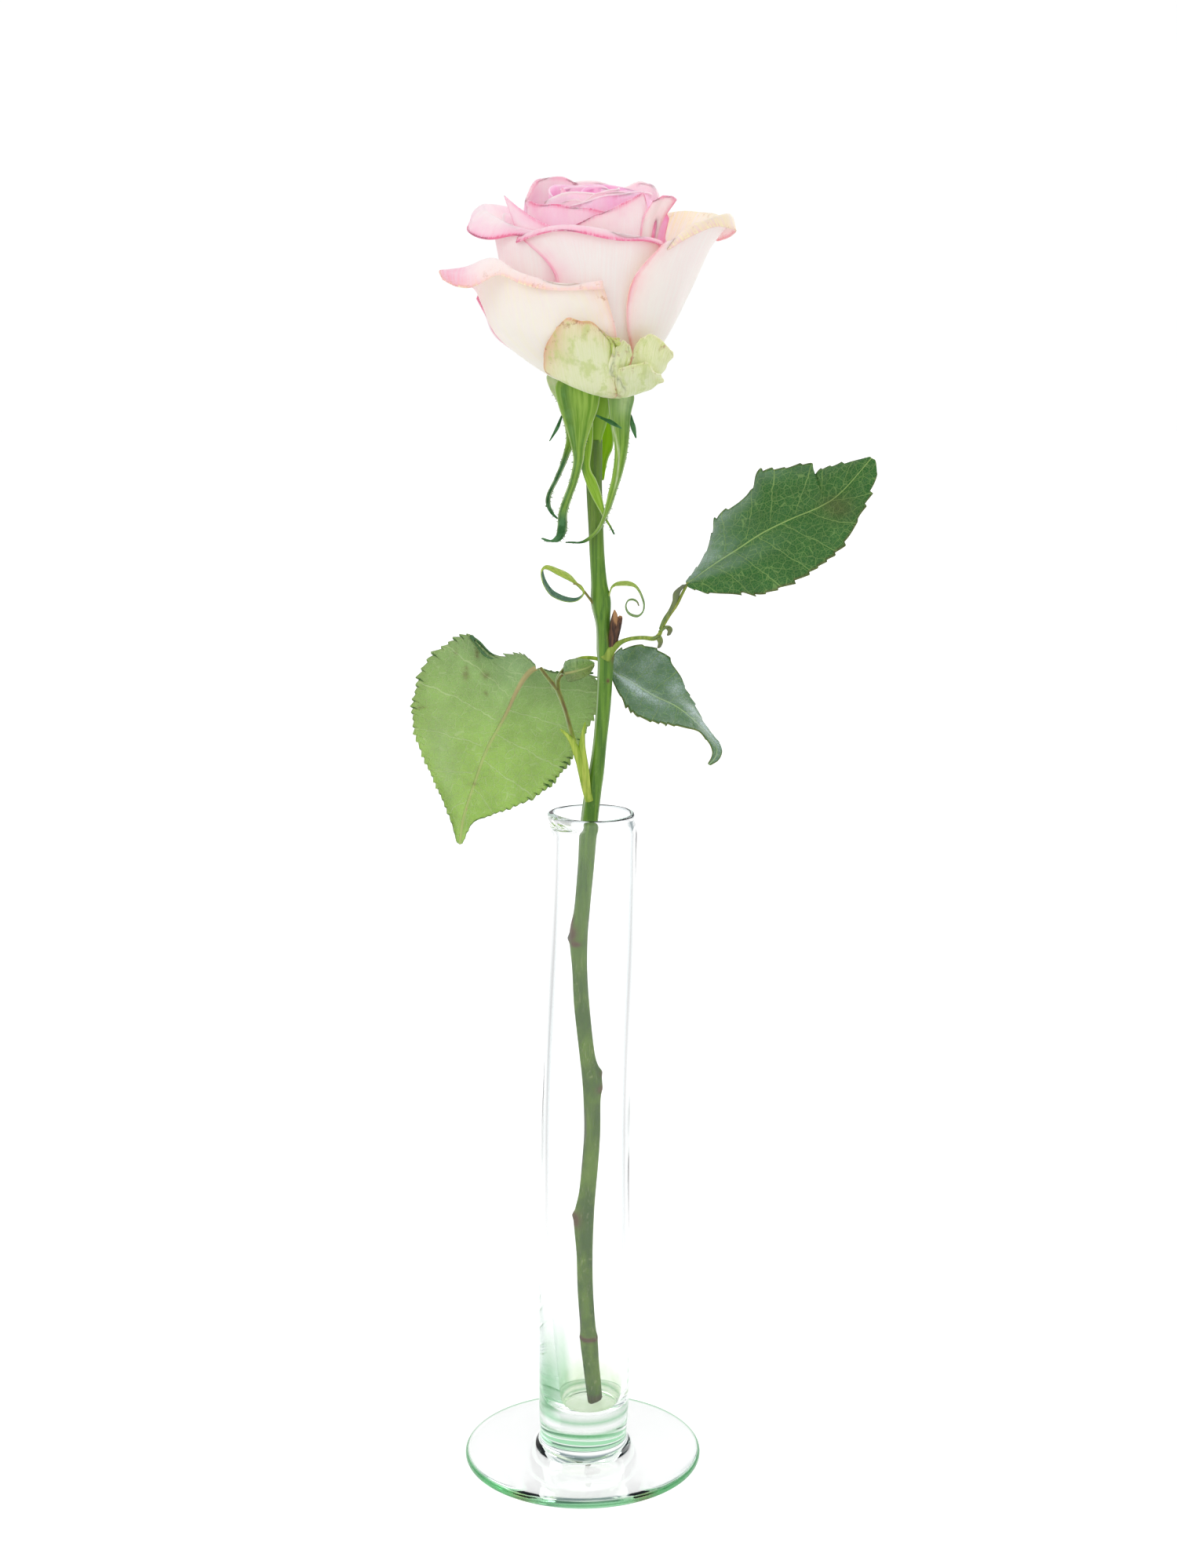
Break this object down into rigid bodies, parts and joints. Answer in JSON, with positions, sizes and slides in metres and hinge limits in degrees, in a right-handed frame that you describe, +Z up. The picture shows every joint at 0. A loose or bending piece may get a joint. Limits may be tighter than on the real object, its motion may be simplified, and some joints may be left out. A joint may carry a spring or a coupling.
{
  "type": "cut rose",
  "caption": "Cut rose with a layered pale pink bloom, drooping sepals and toothed leaves on a tall stem, standing in a slim clear glass bud vase with a round foot.",
  "frame": {"origin": "centre of the vase foot's flat underside", "axes": "+Z up along the vase and stem, -Y towards the picture's viewer, +X towards the upper leaf"},
  "size_m": [0.1372, 0.0778, 0.3976],
  "materials": {
    "vase_glass": "clear glass with a faint green tint where it is thick",
    "stem_green": "smooth green stalk, duller and scarred inside the vase",
    "stub_brown": "dry dark brown bark with a tan cut",
    "bract_green": "soft matt green, lighter inside",
    "stalk_olive": "yellow-green to brown leaf stalk",
    "leaf_green": "satin dark green above with pale veins, light green below",
    "sepal_green": "matt mid green with pale edges and dark tips",
    "guard_cream": "cream petal with yellow-green streaks and a brown-pink edge",
    "petal_pink": "velvety cream-white to pink petal, deeper pink at the edges and centre"
  },
  "bodies": {
    "root": {"vase": "vase_glass", "stem": "stem_green", "cut_shoot_stub": "stub_brown", "bract_left": "bract_green", "bract_right": "bract_green", "upper_leaf_stalk": "stalk_olive", "upper_leaf_blade": "leaf_green", "lower_leaf_stalk": "stalk_olive", "large_leaflet_blade": "leaf_green", "small_leaflet_blade": "leaf_green", "right_leaflet_blade": "leaf_green", "calyx": "sepal_green", "guard_petals": "guard_cream", "bloom_petals": "petal_pink"}
  },
  "joints": []
}
